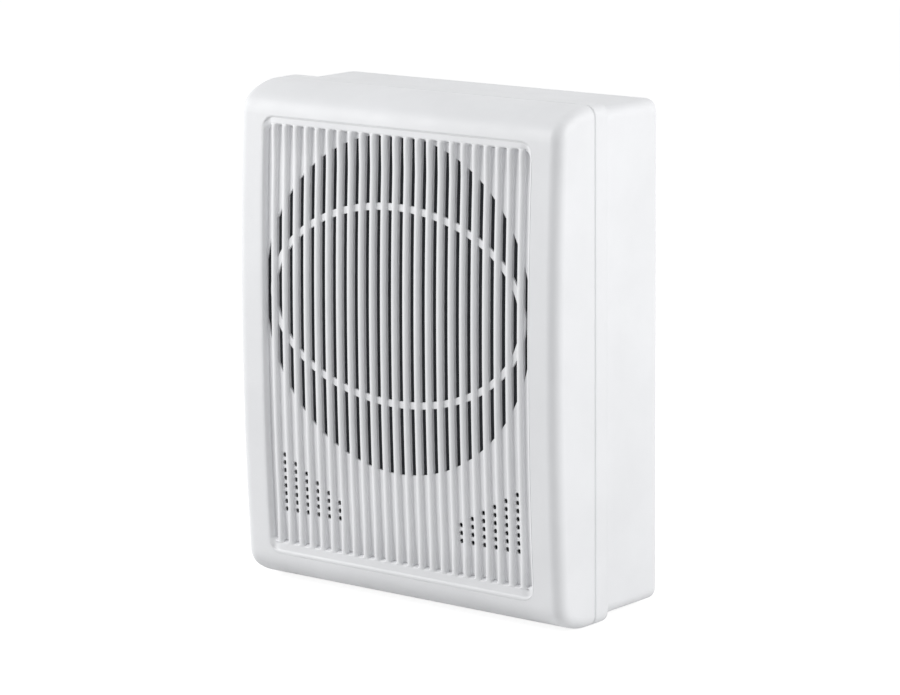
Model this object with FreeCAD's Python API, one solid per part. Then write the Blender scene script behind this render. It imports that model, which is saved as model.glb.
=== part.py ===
import FreeCAD, Part
import math
import os

# Wall speaker: crowned ribbed front cover on a rear box, with a cone driver and a line transformer inside.
# Millimetres. Origin at the centre of the rear face, +X right, +Y towards the wall, +Z up.

os.makedirs("parts", exist_ok=True)
Vec = FreeCAD.Vector
ALONG_X = Vec(1, 0, 0)
ALONG_Y = Vec(0, 1, 0)
ALONG_Z = Vec(0, 0, 1)

# Housing
width = 200.0
height = 253.0
depth = 86.0
cover_depth = 31.0
crown_radius = 1750.0
end_tight_r = 12.0
end_gentle_r = 36.0
end_turn = 32.0
side_edge_r = 6.0
cover_wall = 2.8
flange_length = 10.0
rear_inset_side = 2.5
rear_inset_end = 2.4
rear_corner_r = 6.0
rear_edge_r = 3.5
rear_wall = 2.5
parting_chamfer = 0.7
lip_length = 3.0
lip_wall = 1.5
lip_root = 6.0
lip_clearance = 0.3

# Grille panel, moulded in one with the cover
bezel_side = 16.0
bezel_end = 15.5
panel_corner_r = 7.0
panel_recess = 1.4
panel_margin = 3.0
groove_pitch = 7.0
groove_end_gap = 3.5
groove_depth = 1.7
groove_floor = 3.0
rib_top = 1.8
floor_wall = 1.0
slot_width = 3.4
slot_margin = 0.7
slot_circle_z = 24.0
ring_inset = 5.5
ring_half_z = 48.4
ring_width = 3.5
ring_drop = 1.5
hole_r = 1.3
hole_pitch = 4.0
hole_row_rise = 19.9
hole_first_groove = 1
hole_counts = [8, 7, 6, 5, 4, 3]

# Driver seat and driver
cloth_thickness = 0.5
cloth_clearance = 0.4
seat_bearing = 1.4
seat_wall = 3.6
gasket_thickness = 1.5
gasket_width = 6.6
gasket_inset = 1.9
driver_setback = 15.5
driver_side_gap = 12.5
flange_width = 14.5
basket_wall = 1.0
basket_depth = 29.0
ledge_outer_r = 48.0
ledge_inner_r = 38.0
ledge_v = 22.5
basket_hole_r = 16.0
window_count = 6
window_angle = 40.0
window_margin = 0.15
ear_count = 4
ear_reach = 2.5
ear_r = 6.5
boss_r = 4.0
surround_wall = 0.5
surround_gap = 1.0
surround_span = 7.0
cone_lap = 2.5
cone_wall = 0.6
cone_neck_v = 19.0
cap_r = 19.0
cap_flat_r = 12.0
cap_height = 4.0
cap_glue = 0.1
former_r = 12.6
former_wall = 0.3
coil_wall = 0.7
coil_length = 8.0
former_front_v = 17.5
glue_gap = 0.05
spider_wall = 0.5
spider_flat = 2.0
magnet_gap_r = 14.2
plate_r = 36.0
plate_thickness = 5.0
magnet_inner_r = 17.0
magnet_outer_r = 40.0
magnet_thickness = 12.0
pole_r = 12.2
pole_lead = 0.5
board_half_x = 11.0
board_height = 10.0
board_thickness = 1.5
board_inset = 7.0
lug_offset = 6.0
lug_width = 3.0
lug_thickness = 0.6
lug_length = 7.0
tinsel_r = 0.55
tinsel_cone_r = 42.0
tinsel_drop = 4.0
tinsel_root = 3.5
tinsel_out = 1.0
tinsel_behind = 14.0

# Case screws, wells and bosses
well_inset_x = 14.0
well_inset_z = 16.5
well_outer_r = 4.9
well_inner_r = 3.6
well_floor = 3.0
well_lead = 3.0
case_boss_r = 4.5
pilot_r = 1.5
thread_clearance = 0.05
hole_clearance = 0.3
pilot_spare = 0.5
case_screw_length = 15.0
driver_screw_length = 6.5
screw_head_r = 3.0
screw_head = 1.9

# Wall keyholes and cable grommet
keyhole_x = 50.0
keyhole_drop = 41.5
keyhole_head_r = 4.5
keyhole_slot_half = 2.3
keyhole_rise = 9.0
keyhole_pad = 4.0
keyhole_pad_depth = 1.5
grommet_x = 35.0
grommet_rise = 31.5
grommet_bore_r = 3.5
grommet_neck_r = 5.5
grommet_collar_r = 8.0
grommet_collar = 1.6
grommet_fit = 0.1
grommet_recess = 2.0
grommet_pad_r = 12.0
grommet_pad_gap = 1.0

# Line transformer
core_x = -35.0
core_rise = 31.5
core_width = 41.0
core_height = 34.0
core_stack = 16.0
core_leg = 6.8
core_window = 7.0
core_yoke = 7.0
bobbin_wall = 0.8
bobbin_gap = 0.1
bobbin_cheek = 1.0
winding_margin = 0.6
frame_wall = 0.9
foot_length = 10.0
foot_boss = 5.0
foot_boss_r = 3.4
foot_x = 26.0
foot_screw_length = 6.0
tag_width = 2.4
tag_thickness = 0.5
tag_length = 5.0
tag_offset = 6.0
lead_r = 0.9
lead_rise = 12.0
lead_step = 1.5

# Levels that follow from the sizes above
front_y = -depth
part_y = front_y + cover_depth
flange_y = part_y + flange_length
half_w = width / 2
half_h = height / 2
rear_half_w = half_w - rear_inset_side
rear_half_h = half_h - rear_inset_end
panel_half_x = half_w - bezel_side
panel_half_z = half_h - bezel_end
groove_half_length = panel_half_z - groove_end_gap
groove_count = int(2 * panel_half_x / groove_pitch + 0.01)
hole_row_z = hole_row_rise - groove_half_length
well_x = half_w - well_inset_x
well_z = half_h - well_inset_z
well_front_y = part_y - well_lead
keyhole_z = half_h - keyhole_drop
grommet_z = grommet_rise - half_h
core_z = core_rise - half_h
flange_front_y = front_y + driver_setback
flange_outer_r = half_w - driver_side_gap
flange_inner_r = flange_outer_r - flange_width
ear_circle_r = flange_outer_r + ear_reach
gasket_outer_r = flange_outer_r - gasket_inset
gasket_inner_r = gasket_outer_r - gasket_width
seat_inner_r = gasket_outer_r - seat_bearing
slot_circle_r = seat_inner_r - slot_margin
ring_half_x = slot_circle_r - ring_inset
surround_outer_r = gasket_inner_r - surround_gap
cone_edge_r = flange_inner_r - surround_span
board_circle_r = flange_outer_r - board_inset
floor_level = panel_recess + groove_depth
back_level = floor_level + floor_wall
axis_y = front_y + crown_radius
inner_y = -rear_wall
top_plate_v = basket_depth
magnet_v = top_plate_v + plate_thickness
back_plate_v = magnet_v + magnet_thickness
cone_neck_r = former_r + former_wall + glue_gap


def rounded_rect(half_x, half_z, r, y, cx=0.0, cz=0.0):
    k = r * math.sqrt(0.5)
    edges = []
    corners = [(1, 1), (-1, 1), (-1, -1), (1, -1)]
    for i, (sx, sz) in enumerate(corners):
        nx, nz = corners[(i + 1) % 4]
        mx = cx + sx * (half_x - r)
        mz = cz + sz * (half_z - r)
        along_x = Vec(mx, y, cz + sz * half_z)
        along_z = Vec(cx + sx * half_x, y, mz)
        mid = Vec(mx + sx * k, y, mz + sz * k)
        first, last = (along_z, along_x) if sx == sz else (along_x, along_z)
        edges.append(Part.Arc(first, mid, last).toShape())
        nmx = cx + nx * (half_x - r)
        nmz = cz + nz * (half_z - r)
        if nx == nz:
            start = Vec(cx + nx * half_x, y, nmz)
        else:
            start = Vec(nmx, y, cz + nz * half_z)
        edges.append(Part.makeLine(last, start))
    return Part.Wire(edges)


def block(half_x, half_z, r, y0, y1, cx=0.0, cz=0.0):
    face = Part.Face(rounded_rect(half_x, half_z, r, y0, cx, cz))
    return face.extrude(Vec(0, y1 - y0, 0))


def box(x0, x1, y0, y1, z0, z1):
    return Part.makeBox(x1 - x0, y1 - y0, z1 - z0, Vec(x0, y0, z0))


def rod(r, x, z, y0, y1):
    return Part.makeCylinder(r, y1 - y0, Vec(x, y0, z), ALONG_Y)


def tube(r_in, r_out, x, z, y0, y1):
    return rod(r_out, x, z, y0, y1).cut(rod(r_in, x, z, y0 - 1, y1 + 1))


def crown(level):
    # Everything deeper than this level below the crowned front
    start = Vec(-width, axis_y, 0)
    return Part.makeCylinder(crown_radius - level, 2 * width, start, ALONG_X)


def spin(edges):
    # Turns a profile of (radius, depth behind the driver flange) about the driver axis
    face = Part.Face(Part.Wire(edges))
    return face.revolve(Vec(0, 0, slot_circle_z), ALONG_Y, 360)


def at(r, v):
    return Vec(r, flange_front_y + v, slot_circle_z)


def lines(points, closed=True):
    loop = points + points[:1] if closed else points
    return [Part.makeLine(at(*a), at(*b)) for a, b in zip(loop, loop[1:])]


def ring(r_in, r_out, v0, v1):
    return spin(lines([(r_in, v0), (r_out, v0), (r_out, v1), (r_in, v1)]))


def save(name, shape):
    solids = shape.Solids
    out = solids[0] if len(solids) == 1 else Part.makeCompound(solids)
    out.exportStep("parts/" + name + ".step")


# Front cover

def cover_form(inset):
    # Side profile run across the width: crowned front, then a tight and a gentle arc into each end
    radius = crown_radius - inset
    top = half_h - inset
    tight = end_tight_r - inset
    gentle = end_gentle_r - inset
    x = -half_w + inset
    gentle_z = top - gentle
    # Centre of the tight arc: inside both the crown and the gentle arc, on the ray of the chosen turn
    turn = math.radians(end_turn)
    tight_z = gentle_z + (gentle - tight) * math.cos(turn)
    tight_y = axis_y - math.sqrt((radius - tight) ** 2 - tight_z ** 2)
    gentle_y = tight_y + (gentle - tight) * math.sin(turn)
    start = math.atan2(tight_z, axis_y - tight_y)

    def on_arc(cy, cz, r, angle, s):
        return Vec(x, cy - r * math.cos(angle), s * (cz + r * math.sin(angle)))

    edges = []
    for s in (1, -1):
        a = on_arc(tight_y, tight_z, tight, start, s)
        meet = math.pi / 2 - turn
        b = on_arc(tight_y, tight_z, tight, (start + meet) / 2, s)
        c = on_arc(tight_y, tight_z, tight, meet, s)
        d = on_arc(gentle_y, gentle_z, gentle, (meet + math.pi / 2) / 2, s)
        e = on_arc(gentle_y, gentle_z, gentle, math.pi / 2, s)
        edges.append(Part.Arc(a, b, c).toShape())
        edges.append(Part.Arc(c, d, e).toShape())
        edges.append(Part.makeLine(e, Vec(x, part_y, s * top)))
        if s == 1:
            upper = a
    edges.append(Part.Arc(upper, Vec(x, axis_y - radius, 0), a).toShape())
    edges.append(Part.makeLine(Vec(x, part_y, top), Vec(x, part_y, -top)))
    wire = Part.Wire(Part.__sortEdges__(edges))
    form = Part.Face(wire).extrude(Vec(2 * (half_w - inset), 0, 0))
    if inset > 0:
        return form
    rim = []
    for edge in form.Edges:
        size = edge.BoundBox
        on_side = size.XLength < 1e-6
        on_back = size.YLength < 1e-6
        if on_side and not on_back:
            rim.append(edge)
    return form.makeFillet(side_edge_r, rim)


def groove(i):
    # Flat floor and sloping flanks, carried up through the recess and run along the crown
    x = groove_x(i)
    top = front_y + panel_recess
    half = groove_floor / 2
    out = (groove_pitch - rib_top) / 2
    shape = [(half, top + groove_depth), (out, top), (out, front_y)]
    points = [Vec(x + px, py, 0) for px, py in shape]
    points += [Vec(x - px, py, 0) for px, py in reversed(shape)]
    face = Part.Face(Part.makePolygon(points + points[:1]))
    sweep = 2 * math.degrees(math.asin(groove_half_length / crown_radius))
    face.rotate(Vec(0, axis_y, 0), ALONG_X, -sweep / 2)
    return face.revolve(Vec(0, axis_y, 0), ALONG_X, sweep)


def groove_x(i):
    return (i - (groove_count - 1) / 2) * groove_pitch


def ellipse_face(a, b, y):
    curve = Part.Ellipse(Vec(0, y, slot_circle_z), a, b)
    curve.XAxis = ALONG_X
    curve.Axis = Vec(0, -1, 0)
    return Part.Face(Part.Wire([curve.toShape()]))


def ring_face(y):
    w = ring_width / 2
    outer = ellipse_face(ring_half_x + w, ring_half_z + w, y)
    return outer.cut(ellipse_face(ring_half_x - w, ring_half_z - w, y))


def six_flat(r, x, z, y0, y1):
    # Small hole with six flats, so that its many copies stay light; r is to the flats' corners
    corners = []
    for i in range(7):
        a = math.pi / 3 * i
        corners.append(Vec(x + r * math.cos(a), y0, z + r * math.sin(a)))
    return Part.Face(Part.makePolygon(corners)).extrude(Vec(0, y1 - y0, 0))


def boss_points(radius, count):
    step = 2 * math.pi / count
    return [(radius * math.cos(step * (i + 0.5)), slot_circle_z + radius * math.sin(step * (i + 0.5)))
            for i in range(count)]


corner_points = [(sx * well_x, sz * well_z) for sx in (1, -1) for sz in (1, -1)]
ear_points = boss_points(ear_circle_r, ear_count)
seat_y = flange_front_y - gasket_thickness


def make_cover():
    cover = cover_form(0.0)
    cavity = cover_form(cover_wall)
    panel_back = block(panel_half_x + panel_margin, panel_half_z + panel_margin,
                       panel_corner_r + panel_margin, front_y - 1, part_y)
    cavity = cavity.cut(panel_back.cut(crown(back_level)))
    cover = cover.cut(cavity)

    # Rim: lip that nests inside the rear flange
    inner_w = half_w - cover_wall
    inner_h = half_h - cover_wall
    inner_r = side_edge_r - cover_wall
    lip_in = lip_clearance + lip_wall
    hollow = block(inner_w - lip_in, inner_h - lip_in, inner_r, part_y - lip_root - 1, part_y + lip_length + 1)
    root = block(inner_w + 1, inner_h + 1, inner_r + 1, part_y - lip_root, part_y)
    lip = block(inner_w - lip_clearance, inner_h - lip_clearance, inner_r,
                part_y - 1, part_y + lip_length)
    cover = cover.fuse(root.fuse(lip).cut(hollow))

    # Seat collar and bosses behind the panel
    mid = crown(floor_level + floor_wall / 2)
    parts = [tube(seat_inner_r, seat_inner_r + seat_wall, 0, slot_circle_z, front_y, seat_y).common(mid)]
    for x, z in ear_points:
        parts.append(rod(boss_r, x, z, front_y, flange_front_y).common(mid).cut(
            rod(seat_inner_r, 0, slot_circle_z, front_y, 0)))
    core = cover_form(cover_wall / 2).common(mid)
    for x, z in corner_points:
        parts.append(rod(case_boss_r, x, z, front_y, well_front_y).common(core))
    cover = cover.fuse(parts)

    # Grille recess
    recess = block(panel_half_x, panel_half_z, panel_corner_r, front_y - 1, part_y).cut(crown(panel_recess))
    cover = cover.cut(recess)
    # Grooves; the elliptical ring stays standing across them, a little below the rib tops
    ring_body = ring_face(front_y).extrude(Vec(0, cover_depth, 0)).common(crown(panel_recess + ring_drop))
    grooves = [groove(i).cut(ring_body) for i in range(groove_count)]

    # Slots inside the circle, and the two triangles of small holes
    circle = Part.Face(Part.Wire([Part.Circle(Vec(0, front_y, slot_circle_z), Vec(0, -1, 0),
                                              slot_circle_r).toShape()]))
    open_area = circle.cut(ring_face(front_y))
    strips = []
    for i in range(groove_count):
        start = Vec(groove_x(i) - slot_width / 2, front_y, -groove_half_length)
        strip = Part.makePlane(slot_width, 2 * groove_half_length, start, Vec(0, -1, 0), ALONG_X)
        strips.append(strip)
    slots = []
    for strip in strips:
        for f in strip.common(open_area).Faces:
            slots.append(f.extrude(Vec(0, seat_y - front_y, 0)))
    holes = []
    for i, count in enumerate(hole_counts):
        for k in range(count):
            for g in (hole_first_groove + i, groove_count - 1 - hole_first_groove - i):
                z = hole_row_z + k * hole_pitch
                holes.append(six_flat(hole_r, groove_x(g), z, front_y, seat_y))
    cover = cover.cut(grooves)
    cover = cover.cut(slots)
    cover = cover.cut(holes)

    # Pilot holes for the screws
    pilots = []
    r = (pilot_r + thread_clearance) / math.cos(math.pi / 6)
    for x, z in ear_points:
        tip = flange_front_y - driver_screw_length
        pilots.append(six_flat(r, x, z, tip - pilot_spare, flange_front_y + 1))
    for x, z in corner_points:
        tip = well_front_y + well_floor - case_screw_length
        pilots.append(six_flat(r, x, z, tip - pilot_spare, well_front_y + 1))
    cover = cover.cut(pilots)

    # Fine chamfer that reads as the parting line
    return chamfer_rim(cover.removeSplitter())


def chamfer_rim(shape):
    rim = []
    for edge in shape.Edges:
        size = edge.BoundBox
        flat = size.YLength < 1e-6 and abs(size.YMin - part_y) < 1e-6
        far_x = max(abs(size.XMin), abs(size.XMax)) > half_w - side_edge_r - 0.01
        mid = edge.valueAt((edge.FirstParameter + edge.LastParameter) / 2)
        outside = abs(mid.x) > half_w - 1 or abs(mid.z) > half_h - 1
        corner = math.hypot(abs(mid.x) - half_w + side_edge_r, abs(mid.z) - half_h + side_edge_r)
        if flat and far_x and (outside or abs(corner - side_edge_r) < 0.01):
            rim.append(edge)
    return shape.makeChamfer(parting_chamfer, rim)


# Rear box

def keyhole(y0, y1):
    tools = []
    for x in (keyhole_x, -keyhole_x):
        tools.append(rod(keyhole_head_r, x, keyhole_z, y0, y1))
        tools.append(box(x - keyhole_slot_half, x + keyhole_slot_half, y0, y1,
                         keyhole_z, keyhole_z + keyhole_rise))
        tools.append(rod(keyhole_slot_half, x, keyhole_z + keyhole_rise, y0, y1))
    return tools


def make_rear_box():
    flange = block(half_w, half_h, side_edge_r, part_y, flange_y)
    body = block(rear_half_w, rear_half_h, rear_corner_r, part_y, 0)
    back = [e for e in body.Edges if e.BoundBox.YMin > -1e-6]
    shell = flange.fuse(body.makeFillet(rear_edge_r, back))
    mouth = block(half_w - cover_wall, half_h - cover_wall, side_edge_r - cover_wall,
                  part_y - 1, flange_y - rear_wall)
    hollow = block(rear_half_w - rear_wall, rear_half_h - rear_wall, rear_corner_r - rear_wall,
                   part_y - 1, inner_y)
    shell = shell.cut(mouth.fuse(hollow))

    # Screw wells, pads round the keyholes and the cable hole, and bosses under the transformer
    added = []
    removed = []
    for x, z in corner_points:
        added.append(rod(well_outer_r, x, z, well_front_y, inner_y))
        removed.append(rod(well_inner_r, x, z, well_front_y + well_floor, 1))
        clear = (pilot_r + hole_clearance) / math.cos(math.pi / 6)
        removed.append(six_flat(clear, x, z, well_front_y - 1, well_front_y + well_floor + 1))
    middle = keyhole_z + keyhole_rise / 2
    pad_x = keyhole_head_r + keyhole_pad
    pad_z = keyhole_head_r + keyhole_rise / 2 + keyhole_pad
    for x in (keyhole_x, -keyhole_x):
        added.append(box(x - pad_x, x + pad_x, inner_y - keyhole_pad_depth, inner_y,
                         middle - pad_z, middle + pad_z))
    removed += keyhole(-depth / 2, 1)
    pad_y = inner_y - grommet_recess
    added.append(rod(grommet_pad_r, grommet_x, grommet_z, pad_y, inner_y))
    removed.append(rod(grommet_collar_r + grommet_pad_gap, grommet_x, grommet_z, -grommet_recess, 1))
    removed.append(rod(grommet_neck_r + grommet_fit, grommet_x, grommet_z, pad_y - 1, 0))
    for x in foot_points:
        added.append(rod(foot_boss_r, x, core_z, inner_y - foot_boss, inner_y))
        pilot = (pilot_r + thread_clearance) / math.cos(math.pi / 6)
        removed.append(six_flat(pilot, x, core_z, inner_y - foot_boss - 1,
                                inner_y - foot_boss + foot_screw_length + pilot_spare))
    shell = shell.fuse(added).cut(removed)
    return chamfer_rim(shell.removeSplitter())


# Driver

def cone_line(r):
    # Depth of the cone's front face at a radius
    share = (cone_edge_r - r) / (cone_edge_r - cone_neck_r)
    return cone_neck_v * share


def make_basket():
    w = basket_wall
    profile = [
        (flange_outer_r, 0),
        (flange_inner_r, 0),
        (ledge_outer_r, ledge_v),
        (ledge_inner_r, ledge_v),
        (ledge_inner_r, basket_depth - w),
        (basket_hole_r, basket_depth - w),
        (basket_hole_r, basket_depth),
        (ledge_inner_r + w, basket_depth),
        (ledge_inner_r + w, ledge_v + w),
        (ledge_outer_r + w / 2, ledge_v + w),
        (flange_inner_r + w, w),
        (flange_outer_r, w),
    ]
    basket = spin(lines(profile))
    y0 = flange_front_y
    ears = []
    for x, z in ear_points:
        ears.append(rod(ear_r, x, z, y0, y0 + w))
    basket = basket.fuse(ears)
    # Windows between the arms, and holes for the fixing screws
    edge = (flange_inner_r - ledge_outer_r) * window_margin
    frame = lines([(ledge_outer_r + edge, 0), (flange_inner_r - edge, 0),
                   (flange_inner_r - edge, basket_depth), (ledge_outer_r + edge, basket_depth)])
    window = Part.Face(Part.Wire(frame)).revolve(Vec(0, 0, slot_circle_z), ALONG_Y, window_angle)
    window.rotate(Vec(0, 0, slot_circle_z), ALONG_Y, 90 - window_angle / 2)
    cuts = []
    for i in range(window_count):
        tool = window.copy()
        tool.rotate(Vec(0, 0, slot_circle_z), ALONG_Y, 360 / window_count * i)
        cuts.append(tool)
    clear = (pilot_r + hole_clearance) / math.cos(math.pi / 6)
    for x, z in ear_points:
        cuts.append(six_flat(clear, x, z, y0 - 1, y0 + w + 1))
    return basket.cut(cuts)


def make_surround():
    # Plain flat ring from the cone's edge to the flat under the gasket
    return ring(cone_edge_r - cone_lap, surround_outer_r, -surround_wall, 0)


def make_cone():
    w = cone_wall
    lap = cone_edge_r - cone_lap
    front = [(cone_neck_r, cone_neck_v), (lap, 0), (cone_edge_r, 0)]
    rear = [(cone_edge_r, w), (cone_neck_r, cone_neck_v + 2 * w)]
    return spin(lines(front + rear))


def make_dust_cap():
    # Low plain cap whose rim sits on the cone
    v = cone_line(cap_r) - cap_glue
    return spin(lines([(0, v - cap_height), (cap_flat_r, v - cap_height), (cap_r, v), (0, v)]))


def make_voice_coil():
    r = former_r
    centre = top_plate_v + plate_thickness / 2
    v0 = centre - coil_length / 2
    v1 = centre + coil_length / 2
    outer = r + former_wall
    return spin(lines([(r, former_front_v), (outer, former_front_v), (outer, v0), (outer + coil_wall, v0),
                       (outer + coil_wall, v1), (r, v1)]))


def make_spider():
    inner_r = former_r + former_wall + glue_gap
    return ring(inner_r, ledge_outer_r - spider_flat, ledge_v - spider_wall, ledge_v)


def make_back_plate():
    v0 = back_plate_v
    v1 = v0 + plate_thickness
    front = top_plate_v - pole_lead
    return spin(lines([(0, front), (pole_r, front), (pole_r, v0), (plate_r, v0), (plate_r, v1), (0, v1)]))


# Driver tags and leads

def swept(points, r):
    # Round wire through the points, with an arc at each turn as large as the shorter run beside it allows
    pts = [Vec(*p) for p in points]
    edges = []
    start = pts[0]
    for a, b, c in zip(pts, pts[1:], pts[2:]):
        u = (a - b).normalize()
        w = (c - b).normalize()
        reach = 0.45 * min((a - b).Length, (c - b).Length)
        first = b + u * reach
        last = b + w * reach
        half = u.getAngle(w) / 2
        out = (u + w).normalize()
        radius = reach * math.tan(half)
        mid = b + out * (radius / math.sin(half) - radius)
        edges.append(Part.makeLine(start, first))
        edges.append(Part.Arc(first, mid, last).toShape())
        start = last
    edges.append(Part.makeLine(start, pts[-1]))
    path = Part.Wire(edges)
    # Six-sided section, which keeps thin wires light
    ahead = (pts[1] - pts[0]).normalize()
    side = ahead.cross(ALONG_X if abs(ahead.x) < 0.9 else ALONG_Z).normalize()
    up = ahead.cross(side)
    corners = []
    for i in range(7):
        a = math.pi / 3 * i
        corners.append(pts[0] + side * (r * math.cos(a)) + up * (r * math.sin(a)))
    return path.makePipeShell([Part.makePolygon(corners)], True, True)


board_z = slot_circle_z - board_circle_r
board_y = flange_front_y + basket_wall
lug_y = board_y + board_thickness
lug_tip_y = lug_y + lug_length


def make_tinsel(s):
    # From the lug, behind the basket's wall, in through a window and on to the back of the cone
    x = s * lug_offset
    y = flange_front_y + cone_line(tinsel_cone_r) + cone_wall + tinsel_r + glue_gap
    back_y = flange_front_y + tinsel_behind
    root_y = (lug_y + lug_tip_y) / 2
    root_r = board_circle_r - lug_thickness / 2 - glue_gap
    window_r = (ledge_outer_r + flange_inner_r) / 2
    radii = [root_r, root_r - tinsel_root, flange_inner_r + tinsel_out, window_r, tinsel_cone_r]
    levels = [root_y, root_y, back_y, y + tinsel_drop, y + tinsel_drop]
    route = [(x, v, slot_circle_z - r) for r, v in zip(radii, levels)]
    return swept(route + [(x, y, slot_circle_z - tinsel_cone_r)], tinsel_r)


def make_lead(s):
    x = core_x + s * tag_offset
    y = tag_y
    z = tag_tip_z
    bend = z + lead_rise - s * lead_step
    turn_y = (y + lug_tip_y) / 2 + s * lead_step
    return swept([(x, y, z), (x, y, bend), (s * lug_offset, turn_y, board_z),
                  (s * lug_offset, lug_tip_y, board_z)], lead_r)


# Line transformer, standing on two bosses of the rear wall

core_y1 = inner_y - foot_boss
core_y0 = core_y1 - core_height
foot_points = [core_x - foot_x, core_x + foot_x]
leg_half = core_width / 2 - core_leg - core_window
stack_half = core_stack / 2
cheek_y0 = core_y0 + core_yoke + bobbin_gap
cheek_y1 = core_y1 - core_yoke - bobbin_gap
cheek_x = leg_half + core_window - bobbin_gap
cheek_z = stack_half + core_window - bobbin_gap
tube_x = leg_half + bobbin_gap + bobbin_wall
tube_z = stack_half + bobbin_gap + bobbin_wall
tag_y = cheek_y0 + bobbin_cheek / 2
tag_tip_z = core_z + cheek_z + tag_length


def slab(half_x, y0, y1, half_z):
    return box(core_x - half_x, core_x + half_x, y0, y1, core_z - half_z, core_z + half_z)


def make_core():
    core = slab(core_width / 2, core_y0, core_y1, stack_half)
    windows = []
    for s in (1, -1):
        x = core_x + s * (leg_half + core_window / 2)
        windows.append(box(x - core_window / 2, x + core_window / 2, core_y0 + core_yoke, core_y1 - core_yoke,
                           core_z - core_stack, core_z + core_stack))
    return core.cut(windows)


def make_bobbin():
    cheeks = [slab(cheek_x, cheek_y0, cheek_y0 + bobbin_cheek, cheek_z)]
    cheeks.append(slab(cheek_x, cheek_y1 - bobbin_cheek, cheek_y1, cheek_z))
    body = slab(tube_x, cheek_y0, cheek_y1, tube_z).fuse(cheeks)
    return body.cut(slab(leg_half + bobbin_gap, core_y0, core_y1, stack_half + bobbin_gap))


def make_winding():
    y0 = cheek_y0 + bobbin_cheek
    y1 = cheek_y1 - bobbin_cheek
    coil = slab(cheek_x - winding_margin, y0, y1, cheek_z - winding_margin)
    return coil.cut(slab(tube_x, core_y0, core_y1, tube_z))


def make_frame():
    side = core_width / 2
    foot = box(core_x - side - foot_length, core_x + side + foot_length, core_y1 - frame_wall, core_y1,
               core_z - stack_half, core_z + stack_half)
    hood = slab(side + frame_wall, core_y0 - frame_wall, core_y1, stack_half)
    frame = foot.fuse(hood).cut(slab(side, core_y0, core_y1 + 1, core_stack))
    clear = (pilot_r + hole_clearance) / math.cos(math.pi / 6)
    for x in foot_points:
        frame = frame.cut(six_flat(clear, x, core_z, core_y1 - 2 * frame_wall, core_y1 + 1))
    return frame


def make_tags():
    tags = []
    for s in (1, -1):
        for t in (1, -1):
            x = core_x + s * tag_offset
            z0 = core_z + t * cheek_z
            z1 = z0 + t * tag_length
            tags.append(box(x - tag_width / 2, x + tag_width / 2, tag_y - tag_thickness / 2,
                            tag_y + tag_thickness / 2, min(z0, z1), max(z0, z1)))
    return Part.makeCompound(tags)


# Screws: six-sided head, plain six-sided shank; the head bears on the seat and the shank points along the given way

def screw(x, z, seat, way, length):
    head = six_flat(screw_head_r, x, z, min(seat, seat - way * screw_head), max(seat, seat - way * screw_head))
    end = seat + way * length
    return head.fuse(six_flat(pilot_r, x, z, min(seat, end), max(seat, end)))


def make_grommet():
    y_out = -grommet_recess
    y_in = inner_y - grommet_recess
    pieces = rod(grommet_neck_r, grommet_x, grommet_z, y_in, y_out)
    pieces = pieces.fuse([rod(grommet_collar_r, grommet_x, grommet_z, y_out, y_out + grommet_collar),
                          rod(grommet_collar_r, grommet_x, grommet_z, y_in - grommet_collar, y_in)])
    return pieces.cut(rod(grommet_bore_r, grommet_x, grommet_z, -depth, 1))


def make_cloth():
    disc = rod(seat_inner_r - cloth_clearance, 0, slot_circle_z, front_y, seat_y)
    near = back_level + glue_gap
    return disc.common(crown(near)).cut(crown(near + cloth_thickness))


def make_lugs():
    lugs = []
    for s in (1, -1):
        x = s * lug_offset
        lugs.append(box(x - lug_width / 2, x + lug_width / 2, lug_y, lug_tip_y,
                        board_z - lug_thickness / 2, board_z + lug_thickness / 2))
    return Part.makeCompound(lugs)


save("front_cover", make_cover())
save("rear_box", make_rear_box())
save("dust_cloth", make_cloth())
save("driver_gasket", ring(gasket_inner_r, gasket_outer_r, -gasket_thickness, 0))
save("driver_basket", make_basket())
save("surround", make_surround())
save("cone", make_cone())
save("dust_cap", make_dust_cap())
save("voice_coil", make_voice_coil())
save("spider", make_spider())
save("top_plate", ring(magnet_gap_r, plate_r, top_plate_v, magnet_v))
save("magnet", ring(magnet_inner_r, magnet_outer_r, magnet_v, back_plate_v))
save("back_plate", make_back_plate())
save("tag_board", box(-board_half_x, board_half_x, board_y, lug_y,
                      board_z - board_height / 2, board_z + board_height / 2))
save("solder_lugs", make_lugs())
save("tinsel_leads", Part.makeCompound([make_tinsel(1), make_tinsel(-1)]))
save("transformer_core", make_core())
save("transformer_bobbin", make_bobbin())
save("transformer_winding", make_winding())
save("transformer_frame", make_frame())
save("transformer_tags", make_tags())
save("lead_red", make_lead(-1))
save("lead_black", make_lead(1))
save("cable_grommet", make_grommet())
save("case_screws", Part.makeCompound(
    [screw(x, z, well_front_y + well_floor, -1, case_screw_length) for x, z in corner_points]))
save("driver_screws", Part.makeCompound(
    [screw(x, z, flange_front_y + basket_wall, -1, driver_screw_length + basket_wall) for x, z in ear_points]))
save("transformer_screws", Part.makeCompound(
    [screw(x, core_z, core_y1 - frame_wall, 1, foot_screw_length + frame_wall) for x in foot_points]))
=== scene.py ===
import math

import bmesh
import bpy
from mathutils import Matrix, Vector


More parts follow.
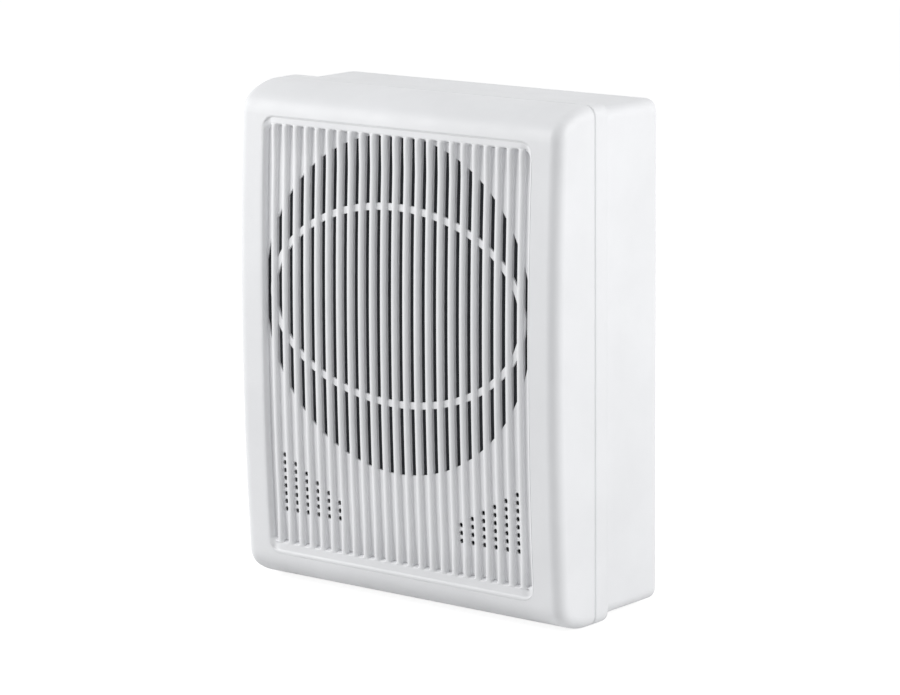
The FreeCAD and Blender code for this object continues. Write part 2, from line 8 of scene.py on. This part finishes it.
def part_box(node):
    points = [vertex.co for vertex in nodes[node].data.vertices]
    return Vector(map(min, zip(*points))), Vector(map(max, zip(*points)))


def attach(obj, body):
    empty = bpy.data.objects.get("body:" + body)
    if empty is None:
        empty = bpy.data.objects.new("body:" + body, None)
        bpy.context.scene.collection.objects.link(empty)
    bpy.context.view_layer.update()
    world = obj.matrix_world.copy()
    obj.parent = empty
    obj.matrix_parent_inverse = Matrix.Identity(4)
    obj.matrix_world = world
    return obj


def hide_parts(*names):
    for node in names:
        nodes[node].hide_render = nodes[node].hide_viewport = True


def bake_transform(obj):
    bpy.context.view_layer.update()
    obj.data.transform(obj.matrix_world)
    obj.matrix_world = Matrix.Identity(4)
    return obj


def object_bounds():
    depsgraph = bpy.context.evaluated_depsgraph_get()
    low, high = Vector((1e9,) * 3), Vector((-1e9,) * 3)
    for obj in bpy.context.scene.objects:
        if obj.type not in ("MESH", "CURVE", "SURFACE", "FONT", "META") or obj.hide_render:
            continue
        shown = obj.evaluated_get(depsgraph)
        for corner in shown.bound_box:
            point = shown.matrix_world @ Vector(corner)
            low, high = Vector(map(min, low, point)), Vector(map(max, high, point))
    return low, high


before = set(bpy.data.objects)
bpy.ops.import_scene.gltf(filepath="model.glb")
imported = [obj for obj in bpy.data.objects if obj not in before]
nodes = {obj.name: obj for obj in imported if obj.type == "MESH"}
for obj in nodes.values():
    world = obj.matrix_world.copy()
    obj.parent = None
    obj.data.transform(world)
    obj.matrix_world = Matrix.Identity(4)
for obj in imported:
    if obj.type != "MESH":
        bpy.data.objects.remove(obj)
cad_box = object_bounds()
scene = bpy.context.scene
MM = 0.001


# Shader nodes

def feed(tree, socket, value):
    # value is a number, a colour or the output that drives the socket
    if isinstance(value, bpy.types.NodeSocket):
        tree.links.new(value, socket)
    else:
        socket.default_value = value


def add_node(tree, kind, sockets=None, **settings):
    # sockets gives each input's value by its name or number
    node = tree.nodes.new(kind)
    for key, value in settings.items():
        setattr(node, key, value)
    for key, value in (sockets or {}).items():
        feed(tree, node.inputs[key], value)
    return node


# Finishes: procedural materials in object coordinates

# nearly all of a noise lies between these two values
NOISE_LOW, NOISE_HIGH = 0.3, 0.7
BEVEL_SAMPLES = 6


def tint(colour, factor):
    return tuple(min(1.0, c * factor) for c in colour)


class Finish:
    def __init__(self, name):
        self.mat = bpy.data.materials.new(name)
        self.mat.use_nodes = True
        self.tree = self.mat.node_tree
        self.bsdf = self.tree.nodes["Principled BSDF"]
        self.place = self.add("ShaderNodeTexCoord").outputs["Object"]

    def add(self, kind, sockets=None, **settings):
        return add_node(self.tree, kind, sockets, **settings)

    def set(self, **values):
        for key, value in values.items():
            feed(self.tree, self.bsdf.inputs[key.replace("_", " ")], value)

    def stretched(self, scale):
        return self.add("ShaderNodeMapping", {"Vector": self.place, "Scale": scale}).outputs["Vector"]

    def noise(self, scale, detail=3.0, rough=0.5, place=None):
        sockets = {"Scale": scale, "Detail": detail, "Roughness": rough, "Vector": place or self.place}
        return self.add("ShaderNodeTexNoise", sockets).outputs["Fac"]

    def wave(self, scale, direction):
        sockets = {"Scale": scale, "Vector": self.place}
        return self.add("ShaderNodeTexWave", sockets, bands_direction=direction).outputs["Fac"]

    def highest(self, a, b):
        return self.add("ShaderNodeMath", {0: a, 1: b}, operation="MAXIMUM").outputs[0]

    def around(self, middle, noise, below, above):
        # a noise mapped to the range from below the middle to above it
        sockets = {"Value": noise, "From Min": NOISE_LOW, "From Max": NOISE_HIGH,
                   "To Min": middle - below, "To Max": middle + above}
        return self.add("ShaderNodeMapRange", sockets).outputs["Result"]

    def shades(self, value, colour, dark, light, start=NOISE_LOW, end=NOISE_HIGH):
        # the colour times dark up to the start value, and times light from the end value on
        node = self.add("ShaderNodeValToRGB", {"Fac": value})
        for stop, place, factor in zip(node.color_ramp.elements, (start, end), (dark, light)):
            stop.position = place
            stop.color = (*tint(colour, factor), 1.0)
        return node.outputs["Color"]

    def bevel(self, radius):
        return self.add("ShaderNodeBevel", {"Radius": radius}, samples=BEVEL_SAMPLES).outputs["Normal"]

    def bump(self, height, strength, distance, under=None):
        sockets = {"Height": height, "Strength": strength, "Distance": distance}
        if under:
            sockets["Normal"] = under
        return self.add("ShaderNodeBump", sockets).outputs["Normal"]


def moulded(name, colour, rough, grain, depth, soft_edge=0.0):
    f = Finish(name)
    cloud = f.noise(scale=18.0, detail=4.0, rough=0.6)
    sheen = f.noise(scale=140.0, detail=5.0, rough=0.6)
    sink = f.noise(scale=55.0, detail=2.0)
    texture = f.noise(scale=grain, rough=0.65)
    under = f.bevel(soft_edge) if soft_edge else None
    flow = f.bump(sink, strength=0.12, distance=0.0006, under=under)
    f.set(Base_Color=f.shades(cloud, colour, dark=0.965, light=1.025),
          Roughness=f.around(rough, sheen, below=0.07, above=0.08),
          Normal=f.bump(texture, strength=0.35, distance=depth, under=flow),
          Specular_IOR_Level=0.42)
    return f.mat


def metal(name, colour, rough, brush):
    f = Finish(name)
    lines = f.noise(scale=900.0, rough=0.6, place=f.stretched(brush))
    cloud = f.noise(scale=60.0, detail=4.0)
    f.set(Base_Color=f.shades(cloud, colour, dark=0.86, light=1.06, end=0.75),
          Roughness=f.around(rough, lines, below=0.1, above=0.12),
          Normal=f.bump(lines, strength=0.15, distance=0.0001),
          Metallic=1.0)
    return f.mat


def fibre(name, colour, rough, scale, depth):
    f = Finish(name)
    felt = f.noise(scale, detail=6.0, rough=0.7)
    f.set(Base_Color=f.shades(felt, colour, dark=0.7, light=1.3, start=0.32),
          Roughness=f.around(rough, f.noise(scale=90.0), below=0.06, above=0.06),
          Normal=f.bump(felt, strength=0.6, distance=depth),
          Sheen_Weight=0.15)
    return f.mat


def woven(name, colour, rough, threads, depth=0.0001):
    f = Finish(name)
    weave = f.highest(f.wave(threads, "X"), f.wave(threads, "Z"))
    f.set(Base_Color=f.shades(weave, colour, dark=0.45, light=1.25, start=0.25, end=0.95),
          Roughness=f.around(rough, f.noise(scale=200.0), below=0.06, above=0.06),
          Normal=f.bump(weave, strength=0.7, distance=depth))
    return f.mat


WHITE = (0.803, 0.806, 0.818)
ZINC = (0.62, 0.62, 0.6)
DULL_ZINC = (0.6, 0.6, 0.57)
TIN = (0.72, 0.71, 0.68)
# how far the brushed lines of a metal are drawn out: a smaller number is a longer line
TURNED = (1.0, 0.1, 1.0)
SCREW_TURNED = (1.0, 0.2, 1.0)
STAMPED = (1.0, 1.0, 0.2)

materials = {
    "front_cover": moulded(
        "cover_white_abs", WHITE, rough=0.46, grain=2600.0, depth=0.00005, soft_edge=0.0006),
    "rear_box": moulded(
        "rear_white_abs", WHITE, rough=0.5, grain=2200.0, depth=0.00006, soft_edge=0.0005),
    "dust_cloth": woven("dust_cloth_black", (0.017, 0.019, 0.024), rough=0.85, threads=420.0),
    "driver_gasket": fibre("gasket_foam", (0.035, 0.035, 0.037), rough=0.9, scale=1500.0, depth=0.0002),
    "driver_basket": moulded(
        "basket_black_paint", (0.03, 0.03, 0.032), rough=0.42, grain=1400.0, depth=0.00006),
    "surround": woven("surround_doped_cloth", (0.028, 0.027, 0.027), rough=0.6, threads=700.0),
    "cone": fibre("cone_paper", (0.05, 0.047, 0.044), rough=0.8, scale=700.0, depth=0.0002),
    "dust_cap": fibre("cap_paper", (0.04, 0.039, 0.038), rough=0.75, scale=900.0, depth=0.00015),
    "voice_coil": metal("coil_copper", (0.62, 0.3, 0.14), rough=0.35, brush=(0.1, 3.0, 0.1)),
    "spider": woven("spider_amber_cloth", (0.42, 0.23, 0.07), rough=0.75, threads=650.0),
    "top_plate": metal("plate_zinc", (0.6, 0.6, 0.58), rough=0.36, brush=TURNED),
    "back_plate": metal("yoke_zinc", (0.58, 0.58, 0.56), rough=0.38, brush=TURNED),
    "magnet": fibre("magnet_ferrite", (0.06, 0.06, 0.063), rough=0.6, scale=500.0, depth=0.0001),
    "tag_board": fibre("tag_board_phenolic", (0.3, 0.16, 0.07), rough=0.5, scale=600.0, depth=0.00005),
    "solder_lugs": metal("lugs_tinned", TIN, rough=0.3, brush=STAMPED),
    "tinsel_leads": metal("tinsel_copper", (0.68, 0.38, 0.2), rough=0.45, brush=(1.0, 1.0, 1.0)),
    "transformer_core": metal("core_lamination", (0.28, 0.28, 0.3), rough=0.45, brush=(0.05, 1.0, 4.0)),
    "transformer_bobbin": moulded("bobbin_nylon", (0.72, 0.7, 0.62), rough=0.5, grain=1500.0, depth=0.00004),
    "transformer_winding": fibre("winding_tape", (0.62, 0.45, 0.08), rough=0.4, scale=300.0, depth=0.00008),
    "transformer_frame": metal("frame_zinc", ZINC, rough=0.36, brush=(1.0, 1.0, 0.1)),
    "transformer_tags": metal("tags_tinned", TIN, rough=0.3, brush=STAMPED),
    "lead_red": moulded("lead_red_pvc", (0.45, 0.02, 0.015), rough=0.4, grain=900.0, depth=0.00003),
    "lead_black": moulded("lead_black_pvc", (0.02, 0.02, 0.021), rough=0.4, grain=900.0, depth=0.00003),
    "cable_grommet": moulded(
        "grommet_rubber", (0.025, 0.025, 0.026), rough=0.62, grain=1300.0, depth=0.00006),
    "case_screws": metal("case_screw_zinc", ZINC, rough=0.32, brush=SCREW_TURNED),
    "driver_screws": metal("driver_screw_zinc", DULL_ZINC, rough=0.34, brush=SCREW_TURNED),
    "transformer_screws": metal("transformer_screw_zinc", DULL_ZINC, rough=0.34, brush=SCREW_TURNED),
}
for name, node in nodes.items():
    node.data.materials.clear()
    node.data.materials.append(materials[name])


# Soft forms of the grille, in millimetres

# sizes of the solid cover. A level is a depth below its crowned front
CROWN_R = 1750.0
FRONT_Y = -86.0
RECESS = 1.4
GROOVE_DEPTH = 1.7
FLOOR_LEVEL = RECESS + GROOVE_DEPTH
PITCH_X = 7.0
RIBS = 23
PANEL_HALF_X = 84.0
PANEL_HALF_Z = 111.0
PANEL_CORNER_R = 7.0

# rounded section of a rib
DOME_RISE = 0.25
DOME_HALF = 2.0
DOME_DEEP = 1.95
SIDE_X = 1.8
SIDE_LEVEL = 1.5

# ends of the ribs: they rise to the shelf over the sweep, and run out into it over the last millimetres
TOP_END = 107.5
LOW_END = -105.3
SHELF = 0.5
SWEEP = 20.0
RUN_OUT = 4.0
FLARE = 1.4
RAMP = 1.4

# edge of the recess: its width at the sides, the share of that above the ramp, and its drop at the ends
EDGE_SIDE = 2.25
UPPER_SHARE = 0.7
EDGE_DROP = 0.9
LOW_EDGE_START = 1.2
INNER_CORNER_R = 8.0
CORNER_DROP = 1.1

# how far a skin stands above the solid, and how far its underside lies in it
SKIN = 0.004
UNDER = 0.03

DOME_STEPS = 16
RIB_ROWS = 96
CORNER_STEPS = 12
STRAIGHT_CUTS = 24
EDGE_STEPS = 24
RAMP_STEPS = 8


def crown_point(x, level, z):
    reach = CROWN_R - level
    return Vector((x, FRONT_Y + CROWN_R - math.sqrt(reach * reach - z * z), z)) * MM


def between(a, b, share):
    return a + (b - a) * share


def ease(reach, length):
    # 0 at the end of a run, 1 from the given length on, along a quarter circle
    return math.sqrt(max(0.0, 1.0 - (1.0 - min(1.0, reach / length)) ** 2))


def smooth(t):
    t = min(1.0, max(0.0, t))
    return t * t * (3.0 - 2.0 * t)


def add_loops(bm, loops, soft):
    # joins closed loops of points into one skin. The sides numbered in soft are shaded smooth
    for low, high in zip(loops, loops[1:]):
        for i in range(len(low)):
            j = (i + 1) % len(low)
            face = bm.faces.new((low[i], low[j], high[j], high[i]))
            face.smooth = i in soft


def add_object(name, mesh):
    obj = bpy.data.objects.new(name, mesh)
    scene.collection.objects.link(obj)
    return obj


def cover_piece(name, bm):
    bmesh.ops.recalc_face_normals(bm, faces=bm.faces)
    mesh = bpy.data.meshes.new(name)
    bm.to_mesh(mesh)
    bm.free()
    mesh.materials.append(materials["front_cover"])
    obj = add_object(name, mesh)
    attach(obj, "housing")


def dome_section():
    # (x, depth below the rib's face) from one side of the rib to the other
    limit = math.asin(SIDE_X / DOME_HALF)
    points = [(-SIDE_X, SIDE_LEVEL)]
    for i in range(DOME_STEPS + 1):
        a = limit * (2.0 * i / DOME_STEPS - 1.0)
        points.append((DOME_HALF * math.sin(a), DOME_DEEP * (1.0 - math.cos(a)) - DOME_RISE))
    points.append((SIDE_X, SIDE_LEVEL))
    return points


def rib_domes():
    section = dome_section()
    last = len(section) - 1
    meet = PITCH_X / 2 - SKIN
    bm = bmesh.new()
    for k in range(RIBS):
        rib_x = (k - (RIBS - 1) / 2) * PITCH_X
        loops = []
        for j in range(RIB_ROWS + 1):
            # the rows lie closer towards the ends, where the form changes most
            z = between(LOW_END, TOP_END, (1.0 + math.sin(math.pi * (j / RIB_ROWS - 0.5))) / 2)
            reach = min(TOP_END - z, z - LOW_END)
            crest = ease(reach, RUN_OUT)
            flank = ease(reach, FLARE)
            face_level = between(SHELF, RECESS, smooth(reach / SWEEP))
            spread = between(meet, SIDE_X, flank) / SIDE_X
            loop = []
            for i, (x, depth) in enumerate(section):
                base = RECESS if i in (0, last) else face_level
                level = base + depth * (flank if depth > 0.0 else crest) - SKIN
                loop.append(bm.verts.new(crown_point(rib_x + x * spread, level, z)))
            loops.append(loop)
        add_loops(bm, loops, range(1, last - 1))
        bm.faces.new(loops[0][::-1])
        bm.faces.new(loops[-1])
    cover_piece("rib_domes", bm)


def panel_outline(corner_r, inset_x, inset_top, inset_low):
    # the recess's rounded rectangle moved inwards, as (x, z, share of the edge that faces up or down)
    rx = corner_r - inset_x
    corners = []
    for quarter, (sx, sz) in enumerate(((1, 1), (-1, 1), (-1, -1), (1, -1))):
        cx = sx * (PANEL_HALF_X - corner_r)
        cz = sz * (PANEL_HALF_Z - corner_r)
        rz = corner_r - (inset_top if sz > 0 else inset_low)
        for i in range(CORNER_STEPS + 1):
            a = math.pi / 2 * (quarter + i / CORNER_STEPS)
            corners.append((cx + rx * math.cos(a), cz + rz * math.sin(a), math.sin(a) ** 2))
    # the straights are cut into short lengths, so that they follow the crown
    outline = []
    for i, (xa, za, share) in enumerate(corners):
        xb, zb, _ = corners[(i + 1) % len(corners)]
        cuts = STRAIGHT_CUTS if (i + 1) % (CORNER_STEPS + 1) == 0 else 1
        outline += [(between(xa, xb, c / cuts), between(za, zb, c / cuts), share) for c in range(cuts)]
    return outline


def recess_edge():
    # at the sides the face rounds over into the first groove. At the ends it steps down to the shelf of the
    # rib ends, which goes down by a short ramp into each groove
    top_width = PANEL_HALF_Z - TOP_END
    low_width = PANEL_HALF_Z + LOW_END
    outer = panel_outline(PANEL_CORNER_R, 0.0, 0.0, 0.0)
    inner = panel_outline(INNER_CORNER_R, EDGE_SIDE * UPPER_SHARE, top_width, low_width)
    foot = panel_outline(INNER_CORNER_R, EDGE_SIDE, top_width + RAMP, low_width + RAMP)
    bm = bmesh.new()
    loops = []
    for (xa, za, share), (xb, zb, _), (xc, zc, _) in zip(outer, inner, foot):
        width, start = (top_width, 0.0) if za > 0 else (low_width, LOW_EDGE_START * share)
        # 1 in the middle of a corner, 0 on the straights
        corner = 4.0 * share * (1.0 - share)
        shelf = SHELF + CORNER_DROP * corner
        section = []
        for i in range(EDGE_STEPS + 1):
            t = i / EDGE_STEPS
            side_level = FLOOR_LEVEL * (1.0 - ease(1.0 - t * UPPER_SHARE, 1.0))
            end_level = shelf * smooth((t * width - start) / EDGE_DROP)
            section.append((between(xa, xb, t), between(side_level, end_level, share), between(za, zb, t)))
        for i in range(1, RAMP_STEPS + 1):
            t = i / RAMP_STEPS
            side_level = FLOOR_LEVEL * (1.0 - ease((1.0 - t) * (1.0 - UPPER_SHARE), 1.0))
            end_level = between(shelf, FLOOR_LEVEL, smooth(t))
            section.append((between(xb, xc, t), between(side_level, end_level, share), between(zb, zc, t)))
        section.append((xc, FLOOR_LEVEL + UNDER, zc))
        section.append((xa, between(FLOOR_LEVEL, RECESS, share) + UNDER, za))
        loops.append([bm.verts.new(crown_point(x, level - SKIN, z)) for x, level, z in section])
    add_loops(bm, loops + loops[:1], range(EDGE_STEPS + RAMP_STEPS))
    cover_piece("recess_edge", bm)


rib_domes()
recess_edge()


# Soft parts of the driver: skins in place of the solid surround, spider and leads, which lie across the
# sliding joint, in millimetres

RING_STEPS = 96
SURROUND_LAP_IN, SURROUND_LAP_OUT = 2.5, 5.0
SURROUND_ROLL = 2.4
SURROUND_STEPS = 20
SPIDER_LAP_IN, SPIDER_LAP_OUT = 3.0, 4.0
SPIDER_WAVES = 5
SPIDER_WAVE_RISE = 0.8
SPIDER_STEPS = 60


def half_roll(u):
    return -SURROUND_ROLL * math.sqrt(max(0.0, 1.0 - (2.0 * u - 1.0) ** 2))


def pleats(u):
    return SPIDER_WAVE_RISE * math.sin(2.0 * math.pi * SPIDER_WAVES * u)


def soft_ring(node, lap_in, lap_out, form, steps):
    # the form runs over the free width between the two glued laps. The ring is built as an unrolled strip,
    # with the radius along Z, and then rolled up around the driver's axis
    low, high = (Vector(c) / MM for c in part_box(node))
    axis_x, axis_z = (low.x + high.x) / 2, (low.z + high.z) / 2
    points = [v.co / MM for v in nodes[node].data.vertices]
    inner = min(math.hypot(p.x - axis_x, p.z - axis_z) for p in points)
    outer = (high.x - low.x) / 2
    free_in, free_out = inner + lap_in, outer - lap_out
    shares = [i / steps for i in range(steps + 1)]
    line = [(inner, 0.0), *((between(free_in, free_out, u), form(u)) for u in shares), (outer, 0.0)]
    section = [(r, low.y + rise) for r, rise in line]
    section += [(r, high.y + rise) for r, rise in reversed(line)]
    bm = bmesh.new()
    loops = []
    for k in range(RING_STEPS):
        turn = 2.0 * math.pi * k / RING_STEPS
        loops.append([bm.verts.new((turn, y, r)) for r, y in section])
    edges = (len(line) - 1, len(section) - 1)
    add_loops(bm, loops + loops[:1], [i for i in range(len(section)) if i not in edges])
    mesh = bpy.data.meshes.new(node + "_soft")
    bm.to_mesh(mesh)
    mesh.materials.append(materials[node])
    obj = add_object(node + "_soft", mesh)
    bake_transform(obj)
    bm.clear()
    bm.from_mesh(mesh)
    for v in bm.verts:
        turn, y, r = v.co
        v.co = Vector((axis_x + r * math.sin(turn), y, axis_z + r * math.cos(turn))) * MM
    bmesh.ops.recalc_face_normals(bm, faces=bm.faces)
    bm.to_mesh(mesh)
    bm.free()
    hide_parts(node)


def soft_leads():
    # a plain copy of the leads stands in for the solid node. The leads are held by the lugs at their low ends
    # and by the cone at their high ends
    obj = add_object("tinsel_leads_soft", nodes["tinsel_leads"].data.copy())
    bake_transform(obj)
    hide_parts("tinsel_leads")


soft_ring("surround", SURROUND_LAP_IN, SURROUND_LAP_OUT, half_roll, SURROUND_STEPS)
soft_ring("spider", SPIDER_LAP_IN, SPIDER_LAP_OUT, pleats, SPIDER_STEPS)
soft_leads()


# Camera: the photograph's own place, fitted to the grille's lines, in degrees, pixels and millimetres

YAW, PITCH, ROLL = (math.radians(a) for a in (38.72, 11.1, -0.46))
FOCAL_PX = 3850.0
PHOTO_WIDTH_PX = 900.0
SENSOR_WIDTH = 36.0
AWAY, SHIFT_X, SHIFT_Y = 1865.0, -26.9, 19.83
AIM = Vector((0.0, -83.3, 24.0))
# in metres
CLIP_NEAR, CLIP_FAR = 0.01, 100.0

level_ahead = Vector((-math.sin(YAW), math.cos(YAW), 0.0))
ahead = math.cos(PITCH) * level_ahead - math.sin(PITCH) * Vector((0.0, 0.0, 1.0))
side = Vector((math.cos(YAW), math.sin(YAW), 0.0))
over = side.cross(ahead)
right = math.cos(ROLL) * side + math.sin(ROLL) * over
up = math.cos(ROLL) * over - math.sin(ROLL) * side
eye = (AIM - SHIFT_X * right - SHIFT_Y * up - AWAY * ahead) * MM
lens = bpy.data.cameras.new("camera")
lens.sensor_fit = "HORIZONTAL"
lens.sensor_width = SENSOR_WIDTH
lens.lens = SENSOR_WIDTH * FOCAL_PX / PHOTO_WIDTH_PX
lens.clip_start = CLIP_NEAR
lens.clip_end = CLIP_FAR
camera = add_object("camera", lens)
camera.matrix_world = Matrix.Translation(eye) @ Matrix((right, up, -ahead)).transposed().to_4x4()
scene.camera = camera


# Light: two soft boxes, one at the front left and one behind the right side, in metres, degrees and watts

LIGHT_AIM = Vector((0.0, -0.04, 0.0))
DISTANCE = 1.4
RISE = math.radians(24.0)


def soft_box(name, bearing, wide, tall, power):
    turn = math.radians(bearing)
    level = Vector((math.sin(turn), -math.cos(turn), 0.0))
    towards = math.cos(RISE) * level + math.sin(RISE) * Vector((0.0, 0.0, 1.0))
    lamp = bpy.data.lights.new(name, "AREA")
    lamp.shape = "RECTANGLE"
    lamp.size = wide
    lamp.size_y = tall
    lamp.energy = power
    obj = add_object(name, lamp)
    obj.location = LIGHT_AIM + towards * DISTANCE
    obj.rotation_euler = (-towards).to_track_quat("-Z", "Y").to_euler()


soft_box("soft_box_left", bearing=-50.0, wide=0.9, tall=1.0, power=14.0)
soft_box("soft_box_right", bearing=110.0, wide=0.8, tall=1.0, power=12.2)


# Room and floor: white where the camera or a reflection sees them, softer as a light on the part

ROOM_COLOUR = (0.97, 0.985, 1.0, 1.0)
ROOM_LIGHT = 0.435
SEEN_COLOUR = (1.0, 1.0, 1.0, 1.0)
SEEN_LIGHT = 1.0
FLOOR_COLOUR = (0.7, 0.7, 0.7, 1.0)
# the seen floor glows nearly white, and its dim surface takes a faint shadow
FLOOR_DIM = (0.3, 0.3, 0.3, 1.0)
FLOOR_GLOW = 0.88
FLOOR_REACH = 12.0
FLOOR_GAP = 0.0002


def empty_tree(owner):
    owner.use_nodes = True
    owner.node_tree.nodes.clear()
    return owner.node_tree


def split_rays(tree, output, plain, seen, kinds):
    # the named kinds of ray meet the seen shader, and all others the plain one
    rays = add_node(tree, "ShaderNodeLightPath").outputs
    share = rays[kinds[0]]
    for kind in kinds[1:]:
        share = add_node(tree, "ShaderNodeMath", {0: share, 1: rays[kind]}, operation="MAXIMUM").outputs[0]
    mix = add_node(tree, "ShaderNodeMixShader", {"Fac": share, 1: plain.outputs[0], 2: seen.outputs[0]})
    add_node(tree, output, {"Surface": mix.outputs[0]})


world = bpy.data.worlds.new("white_room")
scene.world = world
tree = empty_tree(world)
split_rays(
    tree, "ShaderNodeOutputWorld",
    plain=add_node(tree, "ShaderNodeBackground", {"Color": ROOM_COLOUR, "Strength": ROOM_LIGHT}),
    seen=add_node(tree, "ShaderNodeBackground", {"Color": SEEN_COLOUR, "Strength": SEEN_LIGHT}),
    kinds=("Is Camera Ray", "Is Glossy Ray", "Is Transmission Ray"))

paper = bpy.data.materials.new("floor_white")
tree = empty_tree(paper)
dim = add_node(tree, "ShaderNodeBsdfDiffuse", {"Color": FLOOR_DIM})
glow = add_node(tree, "ShaderNodeEmission", {"Strength": FLOOR_GLOW})
split_rays(
    tree, "ShaderNodeOutputMaterial",
    plain=add_node(tree, "ShaderNodeBsdfDiffuse", {"Color": FLOOR_COLOUR}),
    seen=add_node(tree, "ShaderNodeAddShader", {0: dim.outputs[0], 1: glow.outputs[0]}),
    kinds=("Is Camera Ray", "Is Glossy Ray"))

floor_z = cad_box[0][2] - FLOOR_GAP
floor_mesh = bpy.data.meshes.new("floor")
floor_corners = [(x * FLOOR_REACH, y * FLOOR_REACH, floor_z) for x, y in ((-1, -1), (1, -1), (1, 1), (-1, 1))]
floor_mesh.from_pydata(floor_corners, [], [range(len(floor_corners))])
floor_mesh.materials.append(paper)
floor = add_object("floor", floor_mesh)

scene.view_settings.view_transform = "Standard"
